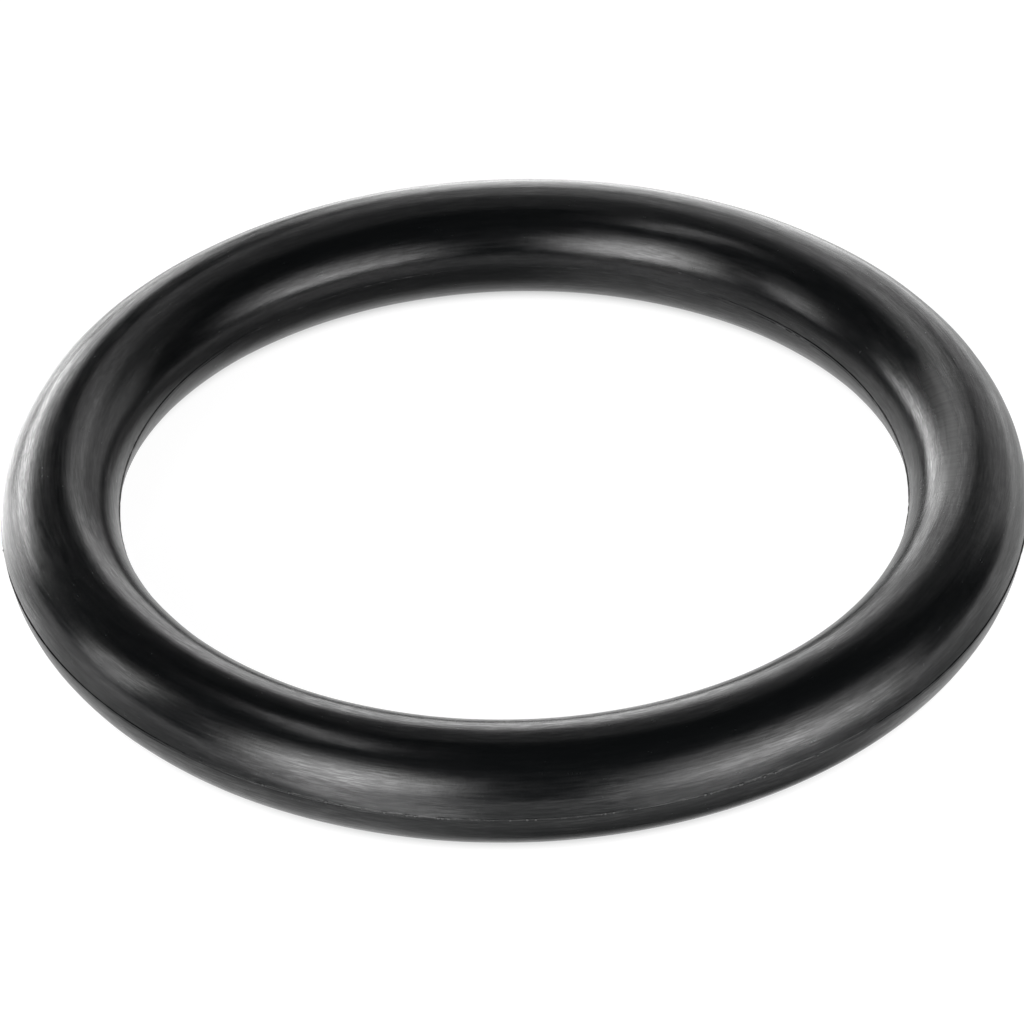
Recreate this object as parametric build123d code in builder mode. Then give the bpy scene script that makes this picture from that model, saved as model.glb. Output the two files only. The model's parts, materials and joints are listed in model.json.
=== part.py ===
from build123d import *
import os

# Rubber retaining ring for an impact socket.
#
# The ring is one endless piece of solid rubber with a round section. It is stretched over the
# socket and springs back into a groove, where it keeps the socket's locking pin from flying out.
# It is pressed between two mould halves that meet at half its height. The rubber that creeps out
# between them is trimmed off, and leaves a low flat-topped rib all round the outside and the inside.
#
# The origin is at the centre of the ring, and +Z is its axis. Sizes are in millimetres, with the
# ring unstretched.

# Driving dimensions
inner_diameter = 35.5  # clear width across the ring, from round section to round section
section_diameter = 5.3  # thickness of the rubber
rib_height = 0.05  # how far the trimmed rib stands proud of the round section
rib_width = 0.12  # thickness of the film of rubber that was trimmed

# The middle of the section lies on this circle
section_centre_radius = (inner_diameter + section_diameter) / 2

with BuildPart() as retaining_ring:
    with BuildSketch(Plane.XZ):
        with Locations((section_centre_radius, 0)):
            Circle(section_diameter / 2)
            # One bar through the middle of the section makes both trimmed ribs
            Rectangle(section_diameter + 2 * rib_height, rib_width)
    revolve(axis=Axis.Z)

retaining_ring.part.label = "retaining_ring"

os.makedirs("parts", exist_ok=True)
export_step(retaining_ring.part, "parts/retaining_ring.step")
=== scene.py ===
import json
import math
from collections import namedtuple

import bpy
from mathutils import Matrix, Vector, noise


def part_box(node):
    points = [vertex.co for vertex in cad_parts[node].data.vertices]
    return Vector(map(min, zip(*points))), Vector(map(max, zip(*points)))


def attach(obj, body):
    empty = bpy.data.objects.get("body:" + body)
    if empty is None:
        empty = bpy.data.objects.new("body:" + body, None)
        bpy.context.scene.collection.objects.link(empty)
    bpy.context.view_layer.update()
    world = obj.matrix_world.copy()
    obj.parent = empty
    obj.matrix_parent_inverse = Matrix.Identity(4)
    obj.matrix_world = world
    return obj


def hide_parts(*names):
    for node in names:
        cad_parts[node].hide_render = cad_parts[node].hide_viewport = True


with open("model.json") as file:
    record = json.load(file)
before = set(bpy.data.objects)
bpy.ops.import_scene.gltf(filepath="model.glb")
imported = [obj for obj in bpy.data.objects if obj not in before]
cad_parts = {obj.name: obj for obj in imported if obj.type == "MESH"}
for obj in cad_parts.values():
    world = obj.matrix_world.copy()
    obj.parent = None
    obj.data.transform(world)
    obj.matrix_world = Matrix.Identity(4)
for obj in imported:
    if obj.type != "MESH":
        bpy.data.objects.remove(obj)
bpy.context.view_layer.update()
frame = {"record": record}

MM = 0.001
RING = "retaining_ring"

# ---------------------------------------------------------------- sizes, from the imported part
RIB_HEIGHT = 0.05 * MM
RIB_WIDTH = 0.12 * MM
OUTER_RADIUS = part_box(RING)[1].x
BORE_RADIUS = frame["record"]["mounts"][0]["dims"]["r_mm"] * MM
CENTRE_RADIUS = (OUTER_RADIUS + BORE_RADIUS) / 2
SECTION_RADIUS = (OUTER_RADIUS - BORE_RADIUS) / 2 - RIB_HEIGHT
FLOOR_LEVEL = -SECTION_RADIUS

# ---------------------------------------------------------------- small helpers


def direction(azimuth, elevation):
    """Unit vector at an azimuth from +X towards +Y and an elevation above the floor, in degrees."""
    a, e = math.radians(azimuth), math.radians(elevation)
    return Vector((math.cos(a) * math.cos(e), math.sin(a) * math.cos(e), math.sin(e)))


def at(theta, rho, z):
    """The point at an azimuth in radians, a distance from the ring's axis and a height."""
    return Vector((rho * math.cos(theta), rho * math.sin(theta), z))


def circle(radius, z, count):
    return [at(2 * math.pi * k / count, radius, z) for k in range(count)]


def band(first, second, count):
    """Faces between two closed rows of points, from the numbers of the rows' first points."""
    steps = [(k, (k + 1) % count) for k in range(count)]
    return [(first + k, first + j, second + j, second + k) for k, j in steps]


def link(obj):
    bpy.context.scene.collection.objects.link(obj)
    return obj


def mesh_object(name, verts, faces, material):
    mesh = bpy.data.meshes.new(name)
    mesh.from_pydata(verts, [], faces)
    mesh.materials.append(material)
    return link(bpy.data.objects.new(name, mesh))


class Tree:
    """A short way to write a node tree: values and sockets go in, sockets come out."""

    def __init__(self, node_tree):
        self.nodes, self.links = node_tree.nodes, node_tree.links

    def feed(self, socket, value):
        if isinstance(value, bpy.types.NodeSocket):
            self.links.new(value, socket)
        else:
            socket.default_value = value

    def node(self, kind, *values):
        """A new node whose first inputs take the values."""
        node = self.nodes.new("ShaderNode" + kind)
        for socket, value in zip(node.inputs, values):
            self.feed(socket, value)
        return node

    def output(self, shader):
        self.links.new(shader, self.node("OutputMaterial").inputs[0])

    def math(self, operation, *values):
        node = self.node("Math", *values)
        node.operation = operation
        return node.outputs[0]

    def times(self, product, *factors):
        for factor in factors:
            product = self.math("MULTIPLY", product, factor)
        return product

    def length(self, x, y):
        """The length of the vector (x, y)."""
        return self.math("SQRT", self.math("ADD", self.times(x, x), self.times(y, y)))

    def vector(self, x, y, z):
        return self.node("CombineXYZ", x, y, z).outputs[0]

    def noise(self, vector, w=None, scale=1.0, detail=2.0, roughness=0.5):
        node = self.node("TexNoise")
        node.noise_dimensions = "3D" if w is None else "4D"
        self.feed(node.inputs["Vector"], vector)
        if w is not None:
            self.feed(node.inputs["W"], w)
        for name, value in (("Scale", scale), ("Detail", detail), ("Roughness", roughness)):
            node.inputs[name].default_value = value
        return node.outputs["Fac"]

    def ramp(self, value, low, high, to_low, to_high, kind="SMOOTHSTEP"):
        node = self.node("MapRange", value, low, high, to_low, to_high)
        node.interpolation_type = kind
        return node.outputs[0]

    def ring_place(self):
        """The place on the object, its azimuth's cosine and sine, its distance from the axis and height."""
        place = self.node("TexCoord").outputs["Object"]
        x, y, z = self.node("SeparateXYZ", place).outputs
        rho = self.length(x, y)
        return place, self.math("DIVIDE", x, rho), self.math("DIVIDE", y, rho), rho, z

    def gap(self, rho):
        """How far outside the circle of contact a place lies."""
        return self.math("SUBTRACT", rho, CENTRE_RADIUS)

    def towards(self, way, azimuth):
        """How well a direction points to an azimuth: its cosine."""
        node = self.node("VectorMath", way, direction(azimuth, 0))
        node.operation = "DOT_PRODUCT"
        return node.outputs["Value"]

    def bump(self, height, distance, normal=None):
        """A bump that is distance metres high where height runs from 0 to 1."""
        node = self.node("Bump")
        node.inputs["Strength"].default_value = 1.0
        node.inputs["Distance"].default_value = distance
        self.feed(node.inputs["Height"], height)
        if normal is not None:
            self.feed(node.inputs["Normal"], normal)
        return node.outputs[0]


def new_material(name, kind=Tree):
    """A material without nodes, and its tree."""
    material = bpy.data.materials.new(name)
    material.use_nodes = True
    material.node_tree.nodes.clear()
    return material, kind(material.node_tree)


# ---------------------------------------------------------------- the ring's mesh
AROUND = 1600
ARC_STEPS = 18
WAVINESS = 0.02 * MM  # how far the skin sinks here and there
WAVE_LENGTH = 3.2 * MM
WAVE_FADE = 0.5 * MM  # the waves grow over this height from the land
# the two mould halves meet in a narrow land that runs straight, not round: wider outside
LAND_OUTSIDE, LAND_INSIDE = 0.30 * MM, 0.22 * MM
# how far the middle of the outer land stands out from the round
LAND_RISE = SECTION_RADIUS * (1 / math.cos(math.asin(LAND_OUTSIDE / SECTION_RADIUS)) - 1)
RIB_CORNER = RIB_WIDTH / 2 - 0.005 * MM
RIB_FOOT = RIB_WIDTH / 2 + 0.005 * MM  # where the rib's upper side runs out into the land
# below the rib the trimming blade left a fine cut
CUT_TOP, CUT_BOTTOM, CUT_FOOT = 0.03 * MM, 0.065 * MM, 0.12 * MM
CUT_DEPTH = 0.085 * MM
OUTSIDE, INSIDE = 1, -1
# the blade trimmed closely round these azimuths: outside in front, and inside at the back
FRONT, BACK = 272, 95
CLOSE_CUT = {OUTSIDE: 0.12, INSIDE: 0.04}  # the share of the cut's depth there
RIB_LEFT = {OUTSIDE: 1.0, INSIDE: 0.35}  # what the blade left of the rib, against the outside
TORN_FRONT = 245  # azimuth where the torn nibs are plainest
NIB_START, NIB_STEEPNESS = 0.36, 6.0

# land is half the height of the land that the station lies on, or None on the round
Station = namedtuple("Station", "angle rib cut land crisp")


def land_profile(land):
    """The land from below to above: height, share of the rib, share of the cut, and if it is crisp."""
    return [(-land, 0, 0, False), (-CUT_FOOT, 0, 0, True), (-CUT_BOTTOM, 0, 1, True),
            (-CUT_TOP, 1, 0, True), (0, 1, 0, True), (RIB_CORNER, 1, 0, True),
            (RIB_FOOT, 0, 0, True), (land, 0, 0, False)]


def section_stations():
    """Stations round the section, which turns up outside and down inside."""
    stations = []
    for middle, land, next_land in ((0.0, LAND_OUTSIDE, LAND_INSIDE), (math.pi, LAND_INSIDE, LAND_OUTSIDE)):
        upwards = middle == 0.0
        profile = land_profile(land)
        for height, rib, cut, crisp in profile if upwards else reversed(profile):
            turn = math.asin(height / SECTION_RADIUS)
            stations.append(Station(middle + (turn if upwards else -turn), rib, cut, land, crisp))
        start = middle + math.asin(land / SECTION_RADIUS)
        end = middle + math.pi - math.asin(next_land / SECTION_RADIUS)
        for k in range(1, ARC_STEPS):
            stations.append(Station(start + (end - start) * k / ARC_STEPS, 0, 0, None, False))
    return stations


def clamp(value, low=0.0):
    return max(low, min(1.0, value))


def away(azimuth, middle, clear, fade):
    """0 within clear degrees of the middle azimuth, and 1 from fade degrees further on."""
    apart = abs((azimuth - middle + 180) % 360 - 180)
    return clamp((apart - clear) / fade)


def at_the_flanks(theta, side):
    """From 0, where the blade trimmed closely, to 1 on the flanks: there the rib and the cut are plain."""
    azimuth = math.degrees(theta)
    if side == INSIDE:
        return away(azimuth, BACK, 34, 22)
    # outside, the flanks end again before the back
    return away(azimuth, FRONT, 38, 18) * (1 - away(azimuth, FRONT, 74, 7))


def noise_round(theta, waves, seed):
    """Noise from -1 to 1 that goes round the ring without a seam: more waves make it finer."""
    return noise.noise(at(theta, 1, 0) * waves + Vector((0, 0, seed)))


def rib_height(theta, side):
    """How far the trimmed rib stands up: mostly cut away, with nibs left standing where it tore."""
    slow = noise_round(theta, 6, side * 5)
    middling = noise_round(theta, 40, side * 3 + 9)
    fine = noise_round(theta, 190, side * 7)
    share = (0.10 + 0.10 * slow + 0.12 * middling + 0.08 * fine) * RIB_LEFT[side]
    if side == OUTSIDE:
        nib = max(0.0, fine + 0.5 * middling - NIB_START) * NIB_STEEPNESS
        share += nib * (0.5 + 0.5 * math.cos(theta - math.radians(TORN_FRONT))) ** 3
    share += at_the_flanks(theta, side) * (0.85 + 0.5 * slow + 0.5 * middling)
    return RIB_HEIGHT * clamp(share, 0.02)


def cut_depth(theta, side):
    """How deep the fine cut below the rib is: it comes and goes."""
    patches = 0.62 + 0.9 * noise_round(theta, 9, side * 4 + 2) + 0.35 * noise_round(theta, 60, side * 4 + 6)
    share = CLOSE_CUT[side] + (1 - CLOSE_CUT[side]) * at_the_flanks(theta, side)
    return CUT_DEPTH * share * clamp(patches)


def land_radial(station, z, side, height, depth):
    """The land goes straight on from its edges, along the round's tangents, with the rib and the cut."""
    edge_sine = station.land / SECTION_RADIUS
    straight = (SECTION_RADIUS - abs(z) * edge_sine) / math.sqrt(1 - edge_sine ** 2)
    proud = min(straight + station.rib * height, SECTION_RADIUS + RIB_HEIGHT)
    return side * (proud - station.cut * depth)


def sunk(point, axis):
    """A point of the skin, sunk towards the section's axis by the slight waviness."""
    sink = WAVINESS * (0.5 + 0.5 * noise.noise(point / WAVE_LENGTH))
    return point - (point - axis).normalized() * sink * clamp((abs(point.z) - LAND_OUTSIDE) / WAVE_FADE)


def ring_slice(theta, stations):
    """The section's points at one azimuth."""
    heights = {side: rib_height(theta, side) for side in (OUTSIDE, INSIDE)}
    depths = {side: cut_depth(theta, side) for side in (OUTSIDE, INSIDE)}
    points = []
    for station in stations:
        side = OUTSIDE if math.cos(station.angle) > 0 else INSIDE
        z = SECTION_RADIUS * math.sin(station.angle)
        if station.land:
            radial = land_radial(station, z, side, heights[side], depths[side])
            points.append(at(theta, CENTRE_RADIUS + radial, z))
        else:
            radial = SECTION_RADIUS * math.cos(station.angle)
            points.append(sunk(at(theta, CENTRE_RADIUS + radial, z), at(theta, CENTRE_RADIUS, 0)))
    return points


def make_ring(material):
    stations = section_stations()
    count = len(stations)
    verts, faces = [], []
    for i in range(AROUND):
        verts += ring_slice(2 * math.pi * i / AROUND, stations)
        # turned over, to face outwards
        faces += [(a, d, c, b) for a, b, c, d in band(i * count, (i + 1) % AROUND * count, count)]
    ring = mesh_object("rubber_ring", verts, faces, material)
    mesh = ring.data
    mesh.validate()
    for face in mesh.polygons:
        face.use_smooth = True
    # the corners of the rib and of the cut are crisp
    sharp = mesh.attributes.new("sharp_edge", "BOOLEAN", "EDGE")
    for edge in mesh.edges:
        first, second = (number % count for number in edge.vertices)
        if first == second and stations[first].crisp:
            sharp.data[edge.index].value = True
    return ring


# ---------------------------------------------------------------- the rubber
RUBBER_COLOUR = (0.0032, 0.0038, 0.0041, 1)
GREY_COLOUR = (0.055, 0.055, 0.055, 1)  # grey of rubber that tore and of dust; on the nibs and the trimmed edge in front it is also a painted highlight for their glints
RUBBER_IOR, FILM_IOR = 1.425, 1.45
SMOOTH, DULL = 0.20, 0.26  # roughness of the skin
TORN_ROUGHNESS = 0.6
FILM_ROUGHNESS = 0.2
SCORE_BUMP, STREAK_BUMP, MOTTLE_BUMP = 0.0006 * MM, 0.0017 * MM, 0.003 * MM
BRUSH_BUMP, GRAIN_BUMP = 0.0010 * MM, 0.0020 * MM


class RubberTree(Tree):
    """A tree with the ring's own coordinates, and the patterns that its rubber shows."""

    def __init__(self, node_tree):
        super().__init__(node_tree)
        self.place, self.cos_theta, self.sin_theta, rho, self.z = self.ring_place()
        self.cos_phi = self.math("DIVIDE", self.gap(rho), SECTION_RADIUS)
        self.sin_phi = self.math("DIVIDE", self.z, SECTION_RADIUS)
        self.long_streaks = self.streaks(8 * MM, 0.28 * MM, 2.0, 0.6)
        self.fine_streaks = self.streaks(1.5 * MM, 0.075 * MM, 1.0)
        # faint marks that run over the section, from the brush that cleaned the ring
        self.brush_marks = self.streaks(0.16 * MM, 1.6 * MM, 1.0)
        self.mottle = self.noise(self.place, None, 1 / (0.45 * MM), 3.0, 0.6)

    def streaks(self, length, width, detail=2.0, roughness=0.5):
        """Noise drawn out: length is measured along the ring and width round its section."""
        around = CENTRE_RADIUS / length
        across = SECTION_RADIUS / width
        vector = self.vector(self.times(self.cos_theta, around), self.times(self.sin_theta, around),
                             self.times(self.cos_phi, across))
        return self.noise(vector, self.times(self.sin_phi, across), 1.0, detail, roughness)

    def relief(self):
        """Score lines, streaks, mottle, brush marks and grain in the skin."""
        normal = self.bump(self.ramp(self.long_streaks, 0.50, 0.58, 0.0, 1.0), SCORE_BUMP)
        normal = self.bump(self.fine_streaks, STREAK_BUMP, normal)
        normal = self.bump(self.mottle, MOTTLE_BUMP, normal)
        # the brush marks are plainest on the top, to the right
        brushed = self.times(self.ramp(self.cos_theta, 0.80, 0.97, 0.0, 1.0),
                             self.ramp(self.sin_phi, 0.5, 0.9, 0.0, 1.0))
        marks = self.times(self.brush_marks, self.math("MULTIPLY_ADD", brushed, 2.6, 1.0))
        normal = self.bump(marks, BRUSH_BUMP, normal)
        grain = self.noise(self.place, None, 1 / (0.08 * MM), 1.0)
        return self.bump(grain, GRAIN_BUMP, normal)

    def torn_and_glints(self):
        """Grey where the nibs tore, and a faint pale line along the trimmed edge: outside and in front
        only. It is partly the grey of rubber that tore, partly a painted highlight for the nibs' glints and
        the light caught by the edge.
        """
        height = self.math("ABSOLUTE", self.z)
        reach = self.length(self.cos_phi, self.sin_phi)
        lowest, full = (1 + (nib + LAND_RISE) / SECTION_RADIUS for nib in (0.010 * MM, 0.022 * MM))
        nibs = self.times(self.ramp(reach, lowest, full, 0.0, 1.0),
                          self.ramp(height, RIB_CORNER, RIB_FOOT, 1.0, 0.0))
        edge = self.times(self.ramp(height, 0.015 * MM, 0.05 * MM, 0.5, 0.0),
                          self.ramp(self.mottle, 0.35, 0.6, 0.2, 1.0))
        # the painted highlight on the nibs and the edge is kept to the outside, in front
        return self.times(self.math("MAXIMUM", nibs, edge),
                          self.ramp(self.sin_theta, -0.75, -0.9, 0.0, 1.0),
                          self.math("GREATER_THAN", self.cos_phi, 0.0))

    def dust(self):
        """A little dust lies in the brush marks on the right, inside."""
        return self.times(self.ramp(self.cos_theta, 0.94, 0.985, 0.0, 1.0),
                          self.ramp(self.cos_phi, -0.05, -0.25, 0.0, 1.0),
                          self.ramp(self.sin_phi, 0.80, 0.92, 0.0, 1.0),
                          self.ramp(self.brush_marks, 0.35, 0.65, 0.82, 1.0))

    def roughness(self, torn_and_glints):
        skin = self.ramp(self.fine_streaks, 0.38, 0.62, SMOOTH, DULL, "LINEAR")
        skin = self.math("ADD", skin, self.times(self.math("SUBTRACT", self.mottle, 0.5), 0.08))
        return self.math("MAXIMUM", skin, self.times(torn_and_glints, TORN_ROUGHNESS))

    def film(self, dust):
        """The mould left a film in streaks along the ring. Dust adds to it."""
        film = self.math("MULTIPLY_ADD", self.long_streaks, 0.5, self.times(self.fine_streaks, 0.5))
        film = self.ramp(film, 0.42, 0.60, 0.0, 0.24, "LINEAR")
        return self.math("ADD", film, self.times(dust, 0.4))

    def scuffs(self):
        """Fine scuffs in patches: the ring was handled most in front."""
        scuffs = self.ramp(self.streaks(0.8 * MM, 0.045 * MM, 2.0, 0.6), 0.45, 0.60, 0.0, 0.5, "LINEAR")
        patches = self.ramp(self.noise(self.place, None, 1 / (3 * MM)), 0.40, 0.60, 0.55, 1.0)
        return self.times(scuffs, patches, self.ramp(self.sin_theta, -0.4, -0.95, 0.9, 1.5))


def rubber_material():
    """Near-black moulded rubber, satin, with a thin streaky film."""
    material, tree = new_material("moulded_rubber", RubberTree)
    torn_and_glints, dust = tree.torn_and_glints(), tree.dust()
    colour = tree.node("Mix")
    colour.data_type = "RGBA"
    # grey where rubber tore and where dust lies, and a painted highlight on the nibs and the trimmed edge
    # in front
    tree.feed(colour.inputs["Factor"], tree.math("MAXIMUM", torn_and_glints, dust))
    colour.inputs["A"].default_value = RUBBER_COLOUR
    colour.inputs["B"].default_value = GREY_COLOUR
    shader = tree.node("BsdfPrincipled")
    tree.feed(shader.inputs["Base Color"], colour.outputs["Result"])
    tree.feed(shader.inputs["Roughness"], tree.roughness(torn_and_glints))
    tree.feed(shader.inputs["Normal"], tree.relief())
    tree.feed(shader.inputs["Coat Weight"], tree.math("ADD", tree.film(dust), tree.scuffs()))
    shader.inputs["IOR"].default_value = RUBBER_IOR
    shader.inputs["Coat Roughness"].default_value = FILM_ROUGHNESS
    shader.inputs["Coat IOR"].default_value = FILM_IOR
    tree.output(shader.outputs[0])
    return material


ring = make_ring(rubber_material())
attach(ring, "root")
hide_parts(RING)

# ---------------------------------------------------------------- floor
FLOOR_RADIUS = 3.0
TABLE_GREY = (0.2, 0.2, 0.2, 1)
TABLE_ROUGHNESS, TABLE_IOR = 0.12, 1.4
WHITE_GLOW = 0.96
# the glow left at the circle of contact, where the painted shadow is darkest
CONTACT_SHADOW_GLOW = 0.12
CONTACT_REACH = 1.7 * MM  # how far from the line of contact the shade reaches


def floor_material():
    """A white light table: it glows for the camera and for reflections, with a painted contact shadow: the
    glow drops where the ring stands.
    """
    material, tree = new_material("white_table")
    rho = tree.ring_place()[3]
    # painted contact shadow: the glow falls off towards the circle of contact
    glow = tree.ramp(tree.math("ABSOLUTE", tree.gap(rho)), 0.0, CONTACT_REACH, CONTACT_SHADOW_GLOW, WHITE_GLOW)
    path = tree.node("LightPath").outputs
    seen = tree.math("MAXIMUM", path["Is Camera Ray"], path["Is Glossy Ray"])
    seen = tree.math("MAXIMUM", seen, path["Is Transmission Ray"])
    light = tree.node("Emission")
    tree.feed(light.inputs["Strength"], tree.times(glow, seen))
    table = tree.node("BsdfPrincipled")
    table.inputs["Base Color"].default_value = TABLE_GREY
    table.inputs["Roughness"].default_value = TABLE_ROUGHNESS
    table.inputs["IOR"].default_value = TABLE_IOR
    tree.output(tree.node("AddShader", table.outputs[0], light.outputs[0]).outputs[0])
    return material


def make_floor():
    points = circle(FLOOR_RADIUS, FLOOR_LEVEL, 96)
    return mesh_object("floor", points, [range(len(points))], floor_material())


floor = make_floor()

# ---------------------------------------------------------------- black felt, and gauze of painted shade round the ring
DARK = (0.03, 0.03, 0.03, 1)
SURROUND_RADIUS = 0.6
SHADE_INSIDE, SHADE_OUTSIDE = 20 * MM, 30 * MM  # how far the gauze of painted shade reaches from the circle of contact
SHADE_LEVEL = FLOOR_LEVEL + 0.05 * MM
# the thin veil paints a faint shade over the table round the ring
THIN_SHADE_DENSITY = 0.34
THIN_SHADE_REACH = 14 * MM  # from here the thin painted shade fades out to its outer edge


def felt_material():
    material, tree = new_material("black_felt")
    tree.output(tree.node("BsdfDiffuse", DARK).outputs[0])
    return material


FELT = felt_material()


def surround():
    """A dark felt dome over the table. The camera sees through it."""
    rings, count = 12, 48
    verts, faces = [], []
    for i in range(rings):
        e = math.pi / 2 * i / rings
        verts += circle(SURROUND_RADIUS * math.cos(e), FLOOR_LEVEL + SURROUND_RADIUS * math.sin(e), count)
    for i in range(rings - 1):
        faces += band(i * count, (i + 1) * count, count)
    faces.append(range((rings - 1) * count, rings * count))
    dome = mesh_object("dark_surround", verts, faces, FELT)
    dome.visible_camera = False
    return dome


def only_in_reflections(obj):
    obj.visible_camera = False
    obj.visible_diffuse = False
    obj.visible_shadow = False
    return obj


def painted_shade_material():
    """Painted shade for reflections: black gauze, a thin veil with four thicker patches, front, back, left
    and right, that darkens the table where reflections see it.
    """
    material, tree = new_material("painted_shade_gauze")
    _, cos_theta, sin_theta, rho, _ = tree.ring_place()
    way, gap = tree.vector(cos_theta, sin_theta, 0.0), tree.gap(rho)

    def patch(azimuth, fades_at, full_at, thickness, starts, full, thins, ends):
        """A patch that comes in between two cosines of an azimuth, and lies between gaps in millimetres."""
        return tree.times(tree.ramp(tree.towards(way, azimuth), fades_at, full_at, 0.0, thickness),
                          tree.ramp(gap, starts * MM, full * MM, 0.0, 1.0),
                          tree.ramp(gap, thins * MM, ends * MM, 1.0, 0.0))

    # painted shade: the ring's shade on the table in front and inside at the back, and a darker table to
    # the left and the right
    front = patch(288, 0.80, 0.98, 0.85, 1.2, 2.4, 2.4, 4.8)
    back = patch(108, 0.84, 0.96, 0.74, -13.0, -8.0, -3.4, -2.0)
    left = patch(228, 0.90, 0.985, 0.35, 3.5, 5.5, 9.0, 13.0)
    right = patch(330, 0.93, 0.99, 0.5, 3.0, 5.0, 8.0, 12.0)
    thick = tree.math("MAXIMUM", tree.math("MAXIMUM", front, left), tree.math("MAXIMUM", back, right))
    thin = tree.ramp(gap, THIN_SHADE_REACH, SHADE_OUTSIDE, THIN_SHADE_DENSITY, 0.0)
    cover = tree.math("ADD", thin, tree.times(thick, tree.math("SUBTRACT", 1.0, thin)))
    clear = tree.node("BsdfTransparent").outputs[0]
    black = tree.node("BsdfDiffuse", DARK).outputs[0]
    tree.output(tree.node("MixShader", cover, clear, black).outputs[0])
    return material


def contact_shade_sheet():
    """Painted shade round the contact: black gauze on the table, that only reflections see."""
    count = 96
    verts = circle(CENTRE_RADIUS + SHADE_OUTSIDE, SHADE_LEVEL, count)
    verts += circle(CENTRE_RADIUS - SHADE_INSIDE, SHADE_LEVEL, count)
    return only_in_reflections(mesh_object("contact_shade_sheet", verts, band(0, count, count), painted_shade_material()))


def dark_strip():
    """A slanting black strip behind the ring on the left, that only reflections see."""
    corners = [(-34.5, 14.0, -2.4), (-33.5, 66.0, 3.2), (-33.5, 66.0, 8.4), (-34.5, 14.0, -0.6)]
    verts = [tuple(c * MM for c in corner) for corner in corners]
    return only_in_reflections(mesh_object("dark_strip", verts, [(0, 1, 2, 3)], FELT))


surround()
contact_shade_sheet()
dark_strip()

world = bpy.data.worlds.new("white_room")
world.use_nodes = True
world.node_tree.nodes["Background"].inputs["Color"].default_value = (1, 1, 1, 1)
world.node_tree.nodes["Background"].inputs["Strength"].default_value = 1.0
bpy.context.scene.world = world

# ---------------------------------------------------------------- lamps


def soft_light(name, width, height, radiance, feather):
    """A rectangular light of a given radiance that fades over its edges; it shines along -Z."""
    light = bpy.data.lights.new(name, "AREA")
    light.shape = "RECTANGLE"
    light.size, light.size_y = width, height
    light.energy = radiance * math.pi * width * height
    light.use_nodes = True
    tree = Tree(light.node_tree)
    place = tree.node("SeparateXYZ", tree.node("NewGeometry").outputs["Parametric"]).outputs
    fades = []
    for along in (place[0], place[1]):
        off_centre = tree.math("ABSOLUTE", tree.math("SUBTRACT", along, 0.5))
        fades.append(tree.ramp(off_centre, 0.5, 0.5 - feather, 0.0, 1.0))
    tree.feed(tree.nodes["Emission"].inputs["Strength"], tree.times(*fades))
    lamp = link(bpy.data.objects.new(name, light))
    lamp.visible_camera = False
    return lamp


def softbox(name, azimuth, elevation, distance, width, height, radiance, feather):
    """A softbox of width by height degrees, as the ring sees it from a distance in metres."""
    lamp = soft_light(name, 2 * distance * math.tan(math.radians(width) / 2),
                      2 * distance * math.tan(math.radians(height) / 2), radiance, feather)
    lamp.location = direction(azimuth, elevation) * distance
    lamp.rotation_mode = "QUATERNION"
    lamp.rotation_quaternion = direction(azimuth, elevation).to_track_quat("Z", "Y")


def table_panel(name, x, y, width, depth, radiance, feather):
    """A light panel that lies on the table and shines up. Its place and size are in millimetres."""
    lamp = soft_light(name, width * MM, depth * MM, radiance, feather)
    lamp.location = (x * MM, y * MM, FLOOR_LEVEL + 0.1 * MM)
    lamp.rotation_euler = (math.pi, 0, 0)


# the two keys in front, each with a dimmer softbox above it
softbox("key_left", 234, 17, 0.30, 56, 52, 7.9, 0.42)
softbox("left_top", 226, 37, 0.41, 41, 35, 1.72, 0.44)
softbox("key_right", 319, 6, 0.12, 78, 33, 7.2, 0.5)
softbox("right_top", 322, 23, 0.113, 80, 40, 2.0, 0.44)
# upright softboxes on the left, far and near
softbox("strip_left", 180, 21, 0.28, 13, 45, 0.6, 0.1)
softbox("strip_near", 183, 17, 0.113, 20, 34, 3.0, 0.35)
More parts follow.
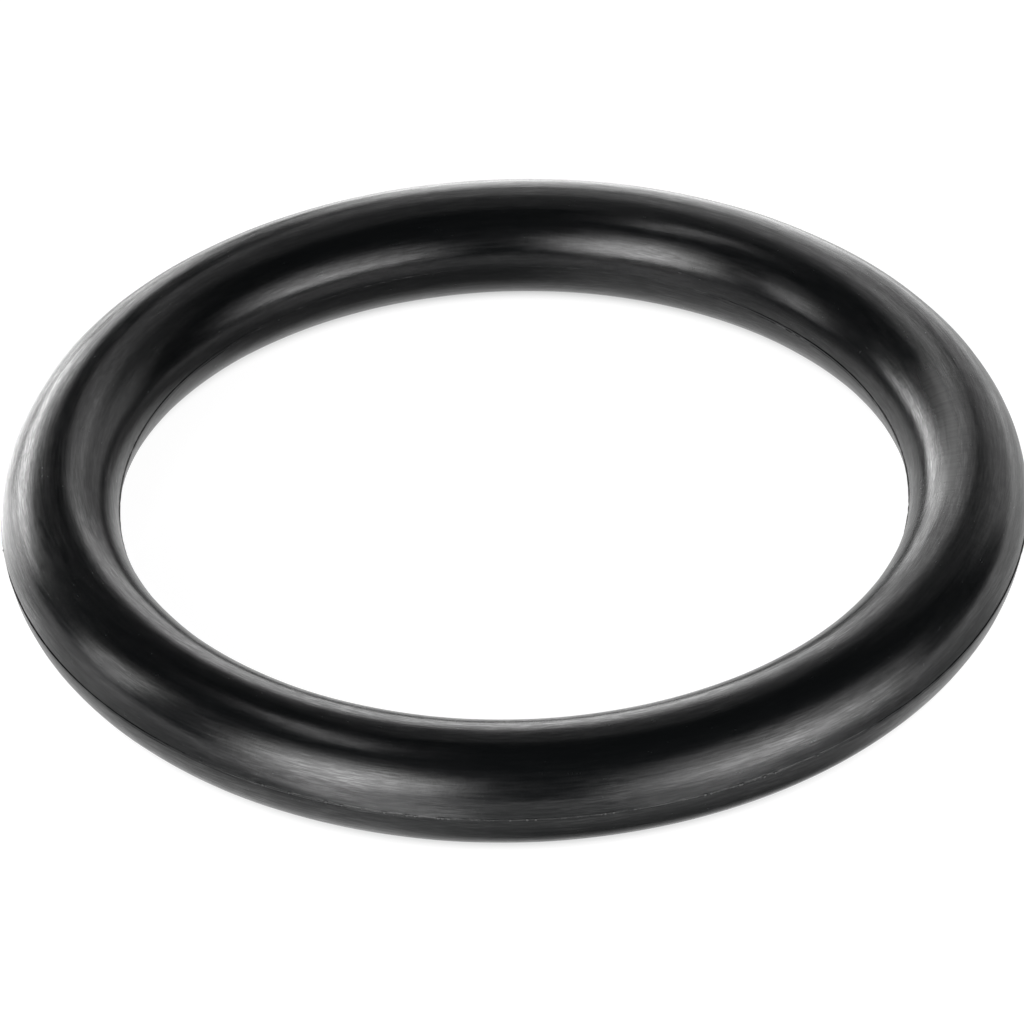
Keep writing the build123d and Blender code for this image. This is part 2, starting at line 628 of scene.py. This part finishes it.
# softboxes behind the ring, for its rims
softbox("back_left", 121, 12, 0.45, 43, 22, 2.8, 0.12)
softbox("back_left_top", 109, 23, 0.45, 16, 12, 1.5, 0.3)
softbox("back_band", 131, 7, 0.24, 44, 15, 3.9, 0.2)
softbox("back", 84.7, 10, 0.3, 20.5, 38, 2.05, 0.15)
softbox("back_middle", 92.5, 10, 0.3, 10, 29, 0.95, 0.3)
softbox("back_gap", 95.7, 13, 0.277, 9, 24, 1.4, 0.4)
softbox("back_side", 73, 7, 0.3, 13, 31, 0.95, 0.25)
softbox("back_right", 49, 2, 0.143, 50, 68, 0.78, 0.28)
# dim cards close behind the ring, and softboxes above it, for its top
softbox("card_right", 84, 34, 0.082, 28, 20, 0.95, 0.2)
softbox("card_side", 70, 33, 0.084, 22, 20, 0.8, 0.3)
softbox("top_left", 177, 69, 0.27, 28, 8, 2.85, 0.2)
softbox("top_right", 81, 60, 0.10, 29, 34, 0.26, 0.1)
softbox("high_right", 60, 40, 0.082, 59, 29, 0.15, 0.12)
# panels on the table, for the lower half of the ring and for its rims
table_panel("panel_left", -28, 12, 20, 28, 1.65, 0.3)
table_panel("panel_low", -26.5, -1, 9, 17, 0.5, 0.3)
table_panel("panel_back", 5, 50, 70, 50, 0.9, 0.3)
table_panel("panel_front", -12, -31, 20, 13, 1.75, 0.2)
table_panel("panel_front_right", 13, -29, 14, 10, 0.9, 0.2)

# ---------------------------------------------------------------- camera
CAMERA_DISTANCE = 17.096 * CENTRE_RADIUS
CAMERA_ELEVATION = 36.874
SENSOR_WIDTH, LENS = 36.0, 272.70703
ROLL = math.radians(-1.597)
# how far the camera turns away from the ring's centre
YAW, PITCH = math.radians(0.014773), math.radians(-0.123352)

camera_data = bpy.data.cameras.new("camera")
camera_data.sensor_width = SENSOR_WIDTH
camera_data.lens = LENS
camera_data.clip_start, camera_data.clip_end = 0.01, 10
camera = link(bpy.data.objects.new("camera", camera_data))
out_of_ring = direction(270, CAMERA_ELEVATION)
camera.location = out_of_ring * CAMERA_DISTANCE
base = out_of_ring.to_track_quat("Z", "Y").to_matrix()
turn = Matrix.Rotation(ROLL, 3, "Z") @ Matrix.Rotation(YAW, 3, "Y") @ Matrix.Rotation(PITCH, 3, "X")
camera.rotation_mode = "QUATERNION"
camera.rotation_quaternion = (base @ turn).to_quaternion()
bpy.context.scene.camera = camera
bpy.context.scene.view_settings.view_transform = "Standard"
